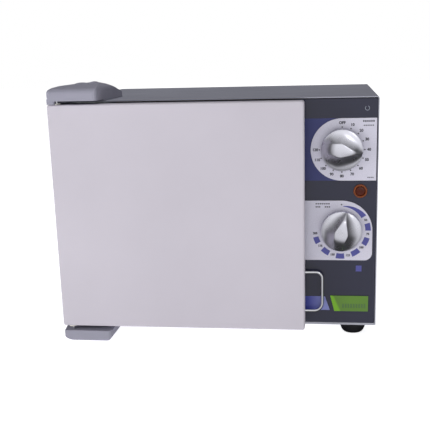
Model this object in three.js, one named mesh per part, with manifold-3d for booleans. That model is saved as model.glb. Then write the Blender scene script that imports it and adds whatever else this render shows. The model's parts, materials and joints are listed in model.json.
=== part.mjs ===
// Benchtop hot-air steriliser: an insulated chamber on the left behind a door that
// swings on two hinge arms, and a control bay on the right with a timer and a thermostat.
// Millimetres, +X right, +Y to the back, +Z up. The origin is under the middle of the
// object, on the surface that its feet stand on.
import * as THREE from 'three';
import { mergeVertices } from 'three/addons/utils/BufferGeometryUtils.js';
import Module from 'manifold-3d';

const wasm = await Module();
wasm.setup();

// ---------------------------------------------------------------- driving dimensions
const CASE_WIDTH = 470;
const CASE_HEIGHT = 334;
const CASE_DEPTH = 382;
const COVER_RADIUS = 3;
const SHEET = 1.5;
const THIN_SHEET = 1;
const GAP = 0.3;
// Shadow gap between the front panel and the cover, at its top and at its sides.
const REVEAL = { top: 1.2, side: 0.8 };
const FOOT_HEIGHT = 24;
const ARM_REACH = 36;
const LOWER_ARM = { reach: 32.5, low: 1.1 - FOOT_HEIGHT };
const REAR_REACH = 12;

// Chamber opening, as seen from the front, and how deep the chamber is.
const CHAMBER = { left: -203, right: 103, bottom: 28, top: 304, back: 302, wall: 1 };
const INSULATION = { left: -229, right: 125, bottom: 6, top: 326, front: 13, back: 335 };
const DIVIDER_X = 127;

// Door slab: its front face, back face and edges.
const DOOR = { left: -233, right: 132, bottom: 0.6, top: 331, front: -30, back: -8.5 };
const DOOR_SKIN = 1.2;
const HINGE = { x: -220, y: -22, pinRadius: 3, bushRadius: 4.7 };
const GASKET_WIDTH = 11;

// Hinge arms, one over the case and one under it.
const ARM = { left: -230.5, right: -157.5, clearance: 5.3 };
const ARM_SCREW_Y = 15;
const CAP_RADIUS = 9;
const CAP_SEAT = 19.5;
const ARM_SCREWS_UPPER = [-194, -174.5];
const ARM_SCREWS_LOWER = [[-169, 15], [-169, 75]];

// Controls on the front panel.
const DIAL_RADIUS = 44;
const DIAL_X = 184;
const TIMER_Z = 260.4;
const THERMOSTAT_Z = 143.5;
const TIMER_POINTER = 101;
const THERMOSTAT_POINTER = 14;
const KNOB = { radius: 29.2, rim: 8, dome: 11.4, height: 18.5 };
const SHAFT_RADIUS = 3;
const LAMP = { x: 210.3, z: 201.4, bezel: 9.8, lens: 6.6, stem: 5.6 };
const LABEL_DEPTH = 0.8;
const DIAL_LEFT = 128.5;
const DIAL_RIGHT = 232;
const LABEL = { left: 168.3, right: 223.6, bottom: 21.5, top: 45.2, lean: 6.1 };

const FOOT = { x: 202.6, front: 43.5, radius: 19.8, sole: 12 };
const INLET = { x: 185, z: 60 };
const FUSE = { x: 185, z: 105 };

const FRONT_TO_CENTRE = -(CASE_DEPTH + REAR_REACH - ARM_REACH) / 2;
const HALF = CASE_WIDTH / 2;
const INSIDE = HALF - SHEET - GAP;
const UP = Math.PI / 2;

// ---------------------------------------------------------------- solids and outlines
function solidOf(geometry) {
  const bare = geometry.clone();
  bare.deleteAttribute('normal');
  bare.deleteAttribute('uv');
  const merged = mergeVertices(bare, 1e-4);
  return new wasm.Manifold(new wasm.Mesh({
    numProp: 3,
    vertProperties: new Float32Array(merged.attributes.position.array),
    triVerts: new Uint32Array(merged.index.array),
  }));
}

function geometryOf(solid) {
  const mesh = solid.getMesh();
  const geometry = new THREE.BufferGeometry();
  geometry.setAttribute('position', new THREE.BufferAttribute(mesh.vertProperties, 3));
  geometry.setIndex(new THREE.BufferAttribute(mesh.triVerts, 1));
  geometry.computeVertexNormals();
  return geometry;
}

function join(...geometries) {
  const solids = geometries.map(solidOf);
  return geometryOf(solids.reduce((whole, solid) => whole.add(solid)));
}

function cut(geometry, ...tools) {
  return geometryOf(tools.map(solidOf).reduce((left, tool) => left.subtract(tool), solidOf(geometry)));
}

function common(...geometries) {
  return geometryOf(geometries.map(solidOf).reduce((whole, solid) => whole.intersect(solid)));
}

// A block between two corners.
function block(x0, x1, y0, y1, z0, z1) {
  const geometry = new THREE.BoxGeometry(x1 - x0, y1 - y0, z1 - z0);
  return geometry.translate((x0 + x1) / 2, (y0 + y1) / 2, (z0 + z1) / 2);
}

// A rod along X, Y or Z from one coordinate to another through (a, b) of the other two.
function rod(axis, radius, from, to, a, b, sides = 24) {
  const geometry = new THREE.CylinderGeometry(radius, radius, to - from, sides);
  const middle = (from + to) / 2;
  if (axis === 'x') {
    return geometry.rotateZ(-UP).translate(middle, a, b);
  }
  if (axis === 'y') {
    return geometry.translate(a, middle, b);
  }
  return geometry.rotateX(UP).translate(a, b, middle);
}

function outline(points) {
  return new THREE.Shape(points.map(([u, v]) => new THREE.Vector2(u, v)));
}

function roundedRect(left, right, bottom, top, radius) {
  const shape = new THREE.Shape();
  shape.absarc(right - radius, bottom + radius, radius, -UP, 0, false);
  shape.absarc(right - radius, top - radius, radius, 0, UP, false);
  shape.absarc(left + radius, top - radius, radius, UP, 2 * UP, false);
  shape.absarc(left + radius, bottom + radius, radius, 2 * UP, 3 * UP, false);
  shape.closePath();
  return shape;
}

function extruded(shape, depth, curveSegments = 2) {
  return new THREE.ExtrudeGeometry(shape, { depth, bevelEnabled: false, curveSegments });
}

// An outline in X and Z, extruded from y0 back to y1.
function plate(shape, y0, y1, curveSegments) {
  return extruded(shape, y1 - y0, curveSegments).rotateX(UP).translate(0, y1, 0);
}

// An outline in Y and Z, extruded from x0 to x1.
function bar(shape, x0, x1, curveSegments) {
  const turn = new THREE.Matrix4().makeBasis(
    new THREE.Vector3(0, 1, 0),
    new THREE.Vector3(0, 0, 1),
    new THREE.Vector3(1, 0, 0),
  );
  return extruded(shape, x1 - x0, curveSegments).applyMatrix4(turn).translate(x0, 0, 0);
}

// An outline in X and Y, extruded from z0 up to z1.
function slab(shape, z0, z1, curveSegments) {
  return extruded(shape, z1 - z0, curveSegments).translate(0, 0, z0);
}

// A profile of radius and height turned about Z.
function turned(profile, segments = 24) {
  const points = profile.map(([radius, height]) => new THREE.Vector2(radius, height));
  return new THREE.LatheGeometry(points, segments).rotateX(UP);
}

// A round tube along straight runs; the bend at each inner corner starts a set length from it.
function tube(points, radius, bends, sides, steps) {
  const corners = points.map((point) => new THREE.Vector3(...point));
  const path = new THREE.CurvePath();
  let start = corners[0];
  for (let i = 1; i < corners.length - 1; i += 1) {
    const bend = bends[i - 1];
    const back = corners[i - 1].clone().sub(corners[i]).setLength(bend);
    const ahead = corners[i + 1].clone().sub(corners[i]).setLength(bend);
    const enter = corners[i].clone().add(back);
    const leave = corners[i].clone().add(ahead);
    path.add(new THREE.LineCurve3(start, enter));
    path.add(new THREE.QuadraticBezierCurve3(enter, corners[i], leave));
    start = leave;
  }
  path.add(new THREE.LineCurve3(start, corners[corners.length - 1]));
  return sweep(path, radius, sides, steps);
}

function sweep(path, radius, sides, steps) {
  const ring = Array.from({ length: sides }, (_, i) => {
    const angle = (2 * Math.PI * i) / sides;
    return new THREE.Vector2(radius * Math.cos(angle), radius * Math.sin(angle));
  });
  return new THREE.ExtrudeGeometry(new THREE.Shape(ring), { steps, extrudePath: path });
}

// ---------------------------------------------------------------- materials
function finish(color, roughness, metalness) {
  return new THREE.MeshStandardMaterial({ color, roughness, metalness });
}

const GREY_PAINT = finish(0x86868f, 0.45, 0.1);
const PANEL_PAINT = finish(0x3c3e4a, 0.4, 0.1);
const BASE_PAINT = finish(0xb9b9c2, 0.45, 0.1);
const DOOR_PAINT = finish(0xc9c5cf, 0.35, 0.05);
const ARM_CASTING = finish(0x9d9da8, 0.5, 0.2);
const STAINLESS = finish(0xb8babd, 0.3, 0.9);
const ZINC = finish(0x9fa3a6, 0.4, 0.9);
const CHROME = finish(0xdcdde2, 0.12, 1);
const WOOL = finish(0xd9c98c, 0.95, 0);
const SILICONE = finish(0xb0442c, 0.7, 0);
const RUBBER = finish(0x141416, 0.8, 0);
const NYLON = finish(0xe6e4dc, 0.5, 0);
const BLACK_PLASTIC = finish(0x1b1b1e, 0.5, 0);
const DIAL_FACE = finish(0xcfcfdb, 0.4, 0);
const GREEN_LABEL = finish(0x557832, 0.4, 0);
const AMBER = finish(0xb4500c, 0.2, 0);
const INCOLOY = finish(0x4a4a46, 0.55, 0.8);
const ALUMINIUM = finish(0xc4c6ca, 0.4, 0.9);
const BRASS = finish(0xb5964a, 0.35, 0.9);
const CERAMIC = finish(0xe3ddd0, 0.6, 0);

const cabinet = new THREE.Group();
cabinet.position.set(0, FRONT_TO_CENTRE, FOOT_HEIGHT);

function add(name, geometry, material) {
  const mesh = new THREE.Mesh(geometry, material);
  mesh.name = name;
  cabinet.add(mesh);
  return mesh;
}

// ---------------------------------------------------------------- casing
// Sheet wrapped over the top and down both sides, with rounded top corners.
function wrapCover() {
  const turn = COVER_RADIUS;
  const inner = turn - SHEET;
  const top = CASE_HEIGHT;
  const shape = new THREE.Shape();
  shape.moveTo(HALF, 0);
  shape.lineTo(HALF, top - turn);
  shape.absarc(HALF - turn, top - turn, turn, 0, UP, false);
  shape.absarc(turn - HALF, top - turn, turn, UP, 2 * UP, false);
  shape.lineTo(-HALF, 0);
  shape.lineTo(SHEET - HALF, 0);
  shape.absarc(turn - HALF, top - turn, inner, 2 * UP, UP, true);
  shape.absarc(HALF - turn, top - turn, inner, UP, 0, true);
  shape.lineTo(HALF - SHEET, 0);
  shape.closePath();
  const holes = ARM_SCREWS_UPPER.map((x) => rod('z', 2.9, top - 5, top + 5, x, ARM_SCREW_Y, 16));
  return cut(plate(shape, 0, CASE_DEPTH, 4), ...holes);
}

// Floor pan with a lip at the front, sides and back.
function basePlate() {
  const lip = 10;
  const depth = CASE_DEPTH - SHEET - 2 * GAP;
  const feet = [FOOT.front, CASE_DEPTH - FOOT.front];
  const footHoles = [-1, 1].flatMap((side) => feet.map((y) => rod('z', 2.4, -1, 3, side * FOOT.x, y, 16)));
  const armHoles = ARM_SCREWS_LOWER.map(([x, y]) => rod('z', 2.9, -1, 3, x, y, 16));
  const vents = [0, 1, 2, 3, 4, 5].map((i) => block(140 + 14 * i, 146 + 14 * i, 110, 190, -1, 3));
  const pan = join(
    block(-INSIDE, INSIDE, 0, depth, 0, SHEET),
    block(-INSIDE, INSIDE, 0, SHEET, 0, 3.2),
    block(-INSIDE, SHEET - INSIDE, 14, depth, 0, lip),
    block(INSIDE - SHEET, INSIDE, 14, depth, 0, lip),
    block(-INSIDE, INSIDE, depth - SHEET, depth, 0, lip),
  );
  return cut(pan, ...footHoles, ...armHoles, ...vents);
}

// Flat back sheet with cooling slots, the mains inlet and the fuse holder.
function backPanel() {
  const shape = roundedRect(-INSIDE, INSIDE, GAP, CASE_HEIGHT - SHEET - GAP, COVER_RADIUS - SHEET);
  const sheet = plate(shape, CASE_DEPTH - SHEET, CASE_DEPTH);
  const slots = Array.from({ length: 7 }, (_, i) => (
    block(145, 215, CASE_DEPTH - 4, CASE_DEPTH + 2, 190 + 14 * i, 195 + 14 * i)
  ));
  const inletHole = block(INLET.x - 14.5, INLET.x + 14.5, 370, 390, INLET.z - 11, INLET.z + 11);
  const fuseHole = rod('y', 7.8, 370, 390, FUSE.x, FUSE.z);
  return cut(sheet, ...slots, inletHole, fuseHole);
}

// Dark front sheet with a folded rim, the chamber opening and the control holes.
function frontPanel() {
  const bottom = 3.5;
  const top = CASE_HEIGHT - SHEET - REVEAL.top;
  const side = HALF - SHEET - REVEAL.side;
  const rim = 8;
  const corner = 2.4;
  const face = plate(roundedRect(-side, side, bottom, top, corner), 0, SHEET);
  const fold = roundedRect(-side, side, bottom, top, corner);
  fold.holes.push(roundedRect(SHEET - side, side - SHEET, bottom + SHEET, top - SHEET, corner - SHEET));
  const opening = plate(roundedRect(CHAMBER.left, CHAMBER.right, CHAMBER.bottom, CHAMBER.top, 6), -1, 3);
  return cut(
    join(face, plate(fold, 0, rim)),
    opening,
    rod('y', 5, -1, 3, DIAL_X, TIMER_Z),
    rod('y', 5, -1, 3, DIAL_X, THERMOSTAT_Z),
    rod('y', LAMP.stem + 0.4, -1, 3, LAMP.x, LAMP.z),
  );
}

add('wrap_cover', wrapCover(), GREY_PAINT);
add('base_plate', basePlate(), BASE_PAINT);
add('back_panel', backPanel(), GREY_PAINT);
add('front_panel', frontPanel(), PANEL_PAINT);

// Upright sheet that keeps the chamber's heat out of the control bay.
const capillaryHole = { y: 200, z: 285 };
const heaterHole = { y: 345, z: 60 };
add('control_bay_divider', cut(
  block(DIVIDER_X, DIVIDER_X + THIN_SHEET, 14, 378, SHEET + GAP, CASE_HEIGHT - SHEET - GAP),
  rod('x', 3, 120, 135, capillaryHole.y, capillaryHole.z, 16),
  rod('x', 9, 120, 135, heaterHole.y, heaterHole.z, 16),
), ZINC);

// ---------------------------------------------------------------- feet
function foot() {
  return turned([
    [2.3, -9], [6.5, -9], [6.5, 1 - FOOT_HEIGHT], [7.5, -FOOT_HEIGHT],
    [FOOT.sole, -FOOT_HEIGHT], [FOOT.sole + 2.5, 1.2 - FOOT_HEIGHT],
    [FOOT.radius - 2, 5 - FOOT_HEIGHT], [FOOT.radius - 0.3, 11 - FOOT_HEIGHT],
    [FOOT.radius, 16 - FOOT_HEIGHT], [FOOT.radius, -2.5], [FOOT.radius - 2, -GAP],
    [2.3, -GAP], [2.3, -9],
  ], 20);
}

// Pan-head screw that stands on its head at height zero, with its shank going up.
function screw(headRadius, headHeight, shankRadius, length) {
  return turned([
    [0, 0], [headRadius - 1, 0], [headRadius, 1], [headRadius, headHeight],
    [shankRadius, headHeight], [shankRadius, length], [0, length],
  ], 16);
}

const footPlaces = [
  ['front_left', -FOOT.x, FOOT.front],
  ['front_right', FOOT.x, FOOT.front],
  ['rear_left', -FOOT.x, CASE_DEPTH - FOOT.front],
  ['rear_right', FOOT.x, CASE_DEPTH - FOOT.front],
];
for (const [corner, x, y] of footPlaces) {
  add(`foot_${corner}`, foot(), RUBBER).position.set(x, y, 0);
  add(`foot_screw_${corner}`, screw(5, 3.2, 1.9, 18.5), ZINC).position.set(x, y, -12.5);
}

// ---------------------------------------------------------------- chamber
const HEATER_LEGS = [-120, 20];
const HEATER_Z = 40;
const HEATER_RADIUS = 4;
const CUTOUT = { x: -50, z: 190 };

// Folded stainless box, open at the front, whose edge meets the front panel's opening.
function innerChamber() {
  const { left, right, bottom, top, back, wall } = CHAMBER;
  return cut(
    plate(roundedRect(left, right, bottom, top, 8), SHEET + GAP, back),
    plate(roundedRect(left + wall, right - wall, bottom + wall, top - wall, 7), 0, back - wall),
    rod('x', 2, right - 5, right + 5, capillaryHole.y, capillaryHole.z, 16),
    ...HEATER_LEGS.map((x) => rod('y', 5, back - 5, back + 5, x, HEATER_Z, 16)),
  );
}

add('inner_chamber', innerChamber(), STAINLESS);

// Glass-wool jacket: five walls round the chamber, with passages for what crosses it.
function chamberInsulation() {
  const { left, right, bottom, top, front, back } = INSULATION;
  return cut(
    block(left, right, front, back, bottom, top),
    plate(roundedRect(
      CHAMBER.left - GAP,
      CHAMBER.right + GAP,
      CHAMBER.bottom - GAP,
      CHAMBER.top + GAP,
      8,
    ), front - 1, CHAMBER.back + 1),
    rod('x', 2.5, CHAMBER.right - 2, right + 2, capillaryHole.y, capillaryHole.z, 16),
    rod('y', 12, CHAMBER.back - 2, back + 2, CUTOUT.x, CUTOUT.z),
    ...HEATER_LEGS.map((x) => rod('y', 5.5, CHAMBER.back - 2, back + 2, x, HEATER_Z, 16)),
  );
}

add('chamber_insulation', chamberInsulation(), WOOL);

// Sheathed heating rod bent into one long hairpin under the chamber's floor plate.
const heaterEnd = INSULATION.back + 14;
add('heater_element', tube([
  [HEATER_LEGS[0], heaterEnd, HEATER_Z],
  [HEATER_LEGS[0], 45, HEATER_Z],
  [HEATER_LEGS[1], 45, HEATER_Z],
  [HEATER_LEGS[1], heaterEnd, HEATER_Z],
], HEATER_RADIUS, [45, 45], 8, 36), INCOLOY);

// Shelf ladders: an upright sheet with folded ledges on each side wall. The lowest pair of
// ledges carries the slotted floor plate, over the heating rod.
const LEDGES = [95, 145, 195, 245];
const LEDGE_REACH = 10;
const LEDGE_SHEET = 1.2;
const FLOOR_LEDGE = 52;
const SHELF_HALF = (CHAMBER.right - CHAMBER.left) / 2 - CHAMBER.wall - THIN_SHEET - LEDGE_SHEET;
const CHAMBER_MIDDLE = (CHAMBER.left + CHAMBER.right) / 2;

function floorPlate() {
  const left = CHAMBER_MIDDLE - SHELF_HALF;
  const right = CHAMBER_MIDDLE + SHELF_HALF;
  const low = FLOOR_LEDGE + LEDGE_SHEET + GAP;
  const slots = [];
  for (let column = 0; column < 4; column += 1) {
    for (let row = 0; row < 5; row += 1) {
      const x = left + 24 + column * 68;
      const y = 30 + row * 52;
      slots.push(block(x, x + 46, y, y + 14, low - 2, low + 4));
    }
  }
  return cut(block(left, right, 8, 296, low, low + LEDGE_SHEET), ...slots);
}

add('chamber_floor_plate', floorPlate(), STAINLESS);

function shelfLadder(side) {
  const wall = side < 0 ? CHAMBER.left + CHAMBER.wall : CHAMBER.right - CHAMBER.wall;
  const out = wall - side * GAP;
  const face = out - side * THIN_SHEET;
  const tip = face - side * LEDGE_REACH;
  const span = (a, b, z0, z1) => block(Math.min(a, b), Math.max(a, b), 16, 286, z0, z1);
  const ledges = [FLOOR_LEDGE, ...LEDGES].map((z) => span(out, tip, z, z + LEDGE_SHEET));
  return join(span(out, face, FLOOR_LEDGE - 4, 262), ...ledges);
}

add('shelf_ladder_left', shelfLadder(-1), STAINLESS);
add('shelf_ladder_right', shelfLadder(1), STAINLESS);

// Shallow perforated tray that hangs on the ledges by its side lips.
function tray() {
  const wide = SHELF_HALF;
  const body = wide - LEDGE_REACH - 2;
  const deep = 14;
  const sheet = 1;
  const slots = [];
  for (let column = 0; column < 5; column += 1) {
    for (let row = 0; row < 4; row += 1) {
      const x = -body + 18 + column * 50;
      const y = 36 + row * 58;
      slots.push(block(x, x + 36, y, y + 12, -deep - 2, 2 - deep));
    }
  }
  return cut(
    join(
      block(-body, body, 14, 284, -deep, sheet),
      block(-wide, wide, 14, 284, 0, sheet),
    ),
    block(sheet - body, body - sheet, 14 + sheet, 284 - sheet, sheet - deep, 3),
    ...slots,
  );
}

const TRAY_SEAT = LEDGE_SHEET + GAP;
add('lower_tray', tray(), ALUMINIUM).position.set(CHAMBER_MIDDLE, 0, LEDGES[0] + TRAY_SEAT);
add('upper_tray', tray(), ALUMINIUM).position.set(CHAMBER_MIDDLE, 0, LEDGES[2] + TRAY_SEAT);

// Overheat cut-out: a button thermostat against the chamber's rear wall, with two tabs.
add('overheat_cutout', join(
  rod('y', 8, CHAMBER.back + GAP, CHAMBER.back + 12, CUTOUT.x, CUTOUT.z),
  rod('y', 10.5, CHAMBER.back + GAP, CHAMBER.back + 2, CUTOUT.x, CUTOUT.z),
  block(CUTOUT.x - 6, CUTOUT.x - 5, CHAMBER.back + 11, CHAMBER.back + 22, CUTOUT.z - 3, CUTOUT.z + 3),
  block(CUTOUT.x + 5, CUTOUT.x + 6, CHAMBER.back + 11, CHAMBER.back + 22, CUTOUT.z - 3, CUTOUT.z + 3),
), BLACK_PLASTIC);

// ---------------------------------------------------------------- door
// Painted pan with softened front edges and bush holes through its top and bottom walls.
function doorSkin() {
  const soft = 2;
  const { left, right, bottom, top, front, back } = DOOR;
  const shape = roundedRect(left + soft, right - soft, bottom + soft, top - soft, 1.5);
  const body = new THREE.ExtrudeGeometry(shape, {
    depth: back - front,
    bevelThickness: soft,
    bevelSize: soft,
    bevelSegments: 2,
    curveSegments: 1,
  });
  body.rotateX(UP).translate(0, back + soft, 0);
  return cut(
    body,
    block(left - 5, right + 5, back, back + 10, bottom - 5, top + 5),
    plate(roundedRect(
      left + DOOR_SKIN,
      right - DOOR_SKIN,
      bottom + DOOR_SKIN,
      top - DOOR_SKIN,
      1.5,
    ), front + DOOR_SKIN, back + 5),
    rod('z', HINGE.bushRadius + GAP, bottom - 5, bottom + 5, HINGE.x, HINGE.y),
    rod('z', HINGE.bushRadius + GAP, top - 5, top + 5, HINGE.x, HINGE.y),
  );
}

// Stainless back of the door, with a pressed plug that faces the chamber opening.
const HANDLE = { top: 81.9, bottom: 23.3, root: 124, reach: 156.8, y: -6, radius: 2.2 };
function doorLiner() {
  const { left, right, bottom, top, back } = DOOR;
  const inset = DOOR_SKIN + GAP;
  const plug = [CHAMBER.left + 9, CHAMBER.right - 9, CHAMBER.bottom + 9, CHAMBER.top - 9];
  const [plugLeft, plugRight, plugBottom, plugTop] = plug;
  const sheet = roundedRect(left + inset, right - inset, bottom + inset, top - inset, 1.5);
  const hollow = roundedRect(plugLeft + 1, plugRight - 1, plugBottom + 1, plugTop - 1, 9);
  const handleHole = (z) => rod('y', HANDLE.radius + 0.8, back - 3, back + 3, HANDLE.root, z, 16);
  return cut(
    join(
      plate(sheet, back - THIN_SHEET, back),
      plate(roundedRect(...plug, 10), back - THIN_SHEET, back + 6),
    ),
    plate(hollow, back - 3, back + 5),
    handleHole(HANDLE.top),
    handleHole(HANDLE.bottom),
  );
}

add('door_skin', doorSkin(), DOOR_PAINT);
add('door_liner', doorLiner(), STAINLESS);

// Glass-wool slab between skin and liner, cut away beside the hinge pins and the handle.
const DOOR_WOOL = {
  left: HINGE.x + 9,
  right: HANDLE.root - 9,
  inner: DOOR.back - THIN_SHEET - GAP,
  outer: DOOR.front + DOOR_SKIN + GAP,
};
add('door_insulation', block(
  DOOR_WOOL.left,
  DOOR_WOOL.right,
  DOOR_WOOL.outer,
  DOOR_WOOL.inner,
  DOOR.bottom + 4,
  DOOR.top - 4,
), WOOL);

// Silicone seal on the liner that closes the gap to the front panel.
function gasket() {
  const edge = GASKET_WIDTH;
  const { left, right, bottom, top } = CHAMBER;
  const ring = roundedRect(left - edge, right + edge, bottom - edge, top + edge, 14);
  ring.holes.push(roundedRect(left, right, bottom, top, 5));
  return plate(ring, DOOR.back + GAP, -GAP);
}

add('door_gasket', gasket(), SILICONE);

// Bent chrome wire that stands out past the free edge of the door.
add('door_handle', tube([
  [HANDLE.root, HANDLE.y - 9, HANDLE.top],
  [HANDLE.root, HANDLE.y, HANDLE.top],
  [HANDLE.reach, HANDLE.y, HANDLE.top],
  [HANDLE.reach, HANDLE.y, HANDLE.bottom],
  [HANDLE.root, HANDLE.y, HANDLE.bottom],
  [HANDLE.root, HANDLE.y - 9, HANDLE.bottom],
], HANDLE.radius, [2.4, 9, 12, 2.4], 8, 48), CHROME);

// Magnetic catch: magnet on the front panel, steel strike on the door liner.
const CATCH = { left: 115.5, right: 127.5, bottom: 145, top: 185 };
add('catch_magnet', block(CATCH.left, CATCH.right, -5.5, -GAP, CATCH.bottom, CATCH.top), BLACK_PLASTIC);
add('catch_strike', block(
  CATCH.left,
  CATCH.right,
  DOOR.back + GAP,
  DOOR.back + 1.5,
  CATCH.bottom - 2,
  CATCH.top + 2,
), ZINC);

// ---------------------------------------------------------------- hinge
// Cast arm over the case: rounded front, long slope to the back, narrowing in plan.
function upperArm() {
  const seat = CASE_HEIGHT + GAP;
  const under = DOOR.top + ARM.clearance;
  const side = new THREE.Shape();
  side.moveTo(-ARM_REACH, under);
  side.lineTo(-ARM_REACH, under + 10);
  side.quadraticCurveTo(-ARM_REACH, under + 17, -27, under + 17.8);
  side.lineTo(12, under + 23.4);
  side.quadraticCurveTo(20, under + 24.4, 28, under + 22.4);
  side.lineTo(100, under + 7);
  side.quadraticCurveTo(108, under + 4.5, 108, seat);
  side.lineTo(SHEET, seat);
  side.lineTo(SHEET, under);
  side.closePath();
  const face = new THREE.Shape();
  face.moveTo(ARM.left, seat - 10);
  face.lineTo(ARM.right, seat - 10);
  face.lineTo(ARM.right, under + 13);
  face.quadraticCurveTo(ARM.right, under + 21.5, ARM.right - 16, under + 24.4);
  face.lineTo(ARM.left + 18, under + 21);
  face.quadraticCurveTo(ARM.left, under + 20, ARM.left, under + 8);
  face.closePath();
  const plan = new THREE.Shape();
  plan.moveTo(ARM.left + 5, -ARM_REACH);
  plan.lineTo(ARM.right - 5, -ARM_REACH);
  plan.quadraticCurveTo(ARM.right, -ARM_REACH, ARM.right, 5 - ARM_REACH);
  plan.lineTo(ARM.right, 103);
  plan.quadraticCurveTo(ARM.right, 108, ARM.right - 6, 108);
  plan.lineTo(ARM.right - 16, 108);
  plan.quadraticCurveTo(ARM.right - 22, 108, ARM.right - 26, 100);
  plan.lineTo(ARM.left, 26);
  plan.lineTo(ARM.left, 5 - ARM_REACH);
  plan.quadraticCurveTo(ARM.left, -ARM_REACH, ARM.left + 5, -ARM_REACH);
  const body = common(
    bar(side, ARM.left - 1, ARM.right + 1, 4),
    plate(face, -ARM_REACH - 1, 110, 5),
    slab(plan, seat - 20, seat + 40, 3),
  );
  const skirtLow = DOOR.top + 0.6;
  const skirt = join(
    block(ARM.left, HINGE.x, -ARM_REACH + 2, HINGE.y - 7, skirtLow, under + 3),
    block(ARM.left, ARM.left + 4, -ARM_REACH + 4, -2, skirtLow, under + 3),
  );
  const above = seat + 40;
  const cap = CAP_RADIUS + 0.4;
  const bores = ARM_SCREWS_UPPER.map((x) => rod('z', 2.9, seat - 2, above, x, ARM_SCREW_Y, 16));
  const seats = ARM_SCREWS_UPPER.map((x) => rod('z', cap, under + CAP_SEAT, above, x, ARM_SCREW_Y));
  const pinHole = rod('z', HINGE.pinRadius + GAP, under - 1, under + 13, HINGE.x, HINGE.y, 16);
  return cut(join(body, skirt), ...bores, ...seats, pinHole);
}

// Cast arm under the case: the same front, with a narrow tongue running past the foot.
function lowerArm() {
  const seat = -GAP;
  const under = DOOR.bottom - 6.5;
  const { low } = LOWER_ARM;
  const front = -LOWER_ARM.reach;
  const side = new THREE.Shape();
  side.moveTo(front, under);
  side.lineTo(SHEET, under);
  side.lineTo(SHEET, seat);
  side.lineTo(90, seat);
  side.lineTo(90, low + 6);
  side.quadraticCurveTo(88, low + 1, 80, low);
  side.lineTo(front + 6, low);
  side.quadraticCurveTo(front, low, front, low + 6);
  side.closePath();
  const face = new THREE.Shape();
  face.moveTo(-HALF, 1);
  face.lineTo(-HALF, low + 14);
  face.quadraticCurveTo(ARM.left + 1, low, ARM.left + 19, low);
  face.lineTo(ARM.right - 15, low);
  face.quadraticCurveTo(ARM.right, low, ARM.right, low + 12);
  face.lineTo(ARM.right, 1);
  face.closePath();
  const tongue = ARM.right - 22;
  const plan = outline([
    [ARM.left, front], [ARM.right - 5, front], [ARM.right - 1.5, front + 1.5],
    [ARM.right, front + 5], [ARM.right, 90],
    [tongue, 90], [tongue, 20], [-HALF, 20], [-HALF, -2],
  ]);
  const body = common(
    bar(side, -HALF - 1, ARM.right + 1, 5),
    plate(face, front - 1, 95, 6),
    slab(plan, low - 5, 5),
  );
  const bores = ARM_SCREWS_LOWER.map(([x, y]) => rod('z', 2.9, low - 5, 5, x, y, 16));
  const sinks = ARM_SCREWS_LOWER.map(([x, y]) => rod('z', 5.6, low - 5, low + 5, x, y, 16));
  const pinHole = rod('z', HINGE.pinRadius + GAP, under - 12, under + 1, HINGE.x, HINGE.y, 16);
  return cut(body, ...bores, ...sinks, pinHole);
}

add('hinge_arm_upper', upperArm(), ARM_CASTING);
add('hinge_arm_lower', lowerArm(), ARM_CASTING);

// Steel plate under the cover's top that the upper arm's screws bite into.
const backingTop = CASE_HEIGHT - SHEET - GAP;
add('arm_backing_plate', cut(
  block(-222, -150, 9, 96, backingTop - 2.6, backingTop),
  ...ARM_SCREWS_UPPER.map((x) => rod('z', 2.8, backingTop - 4, backingTop + 2, x, ARM_SCREW_Y, 16)),
), ZINC);

// Capped screws that stand proud of the upper arm; one cap is domed and one is flat.
function capScrew(headHeight, dome) {
  const reach = 26;
  return turned([
    [0, -reach], [2.5, -reach], [2.5, 0], [CAP_RADIUS, 0],
    [CAP_RADIUS, headHeight - dome], [CAP_RADIUS - 1.2, headHeight - dome / 3],
    [CAP_RADIUS - 4.5, headHeight], [0, headHeight],
  ], 20);
}

const capSeat = DOOR.top + ARM.clearance + CAP_SEAT + GAP;
const [capLeft, capRight] = ARM_SCREWS_UPPER;
add('arm_screw_upper_left', capScrew(3.6, 1), ARM_CASTING)
  .position.set(capLeft, ARM_SCREW_Y, capSeat);
add('arm_screw_upper_right', capScrew(5.2, 3), ARM_CASTING)
  .position.set(capRight, ARM_SCREW_Y, capSeat);
ARM_SCREWS_LOWER.forEach(([x, y], index) => {
  const side = index === 0 ? 'front' : 'rear';
  add(`arm_screw_lower_${side}`, screw(5, 3.4, 2.5, 26), ZINC).position.set(x, y, LOWER_ARM.low + 0.9);
});

// Fixed hinge pins, and the flanged nylon bushes that turn on them with the door.
function hingePin(low, high) {
  return rod('z', HINGE.pinRadius, low, high, HINGE.x, HINGE.y, 20);
}

add('hinge_pin_upper', hingePin(DOOR.top - 16, DOOR.top + ARM.clearance + 12.5), CHROME);
add('hinge_pin_lower', hingePin(-15, DOOR.bottom + 16), CHROME);

function bush() {
  const bore = HINGE.pinRadius + GAP;
  const flange = HINGE.bushRadius + 1.5;
  return turned([
    [bore, -13], [HINGE.bushRadius, -13], [HINGE.bushRadius, GAP], [flange, GAP],
    [flange, 1.6], [bore, 1.6], [bore, -13],
  ], 20);
}

add('hinge_bush_upper', bush(), NYLON).position.set(HINGE.x, HINGE.y, DOOR.top);
add('hinge_bush_lower', bush().rotateX(2 * UP), NYLON).position.set(HINGE.x, HINGE.y, DOOR.bottom);

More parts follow.
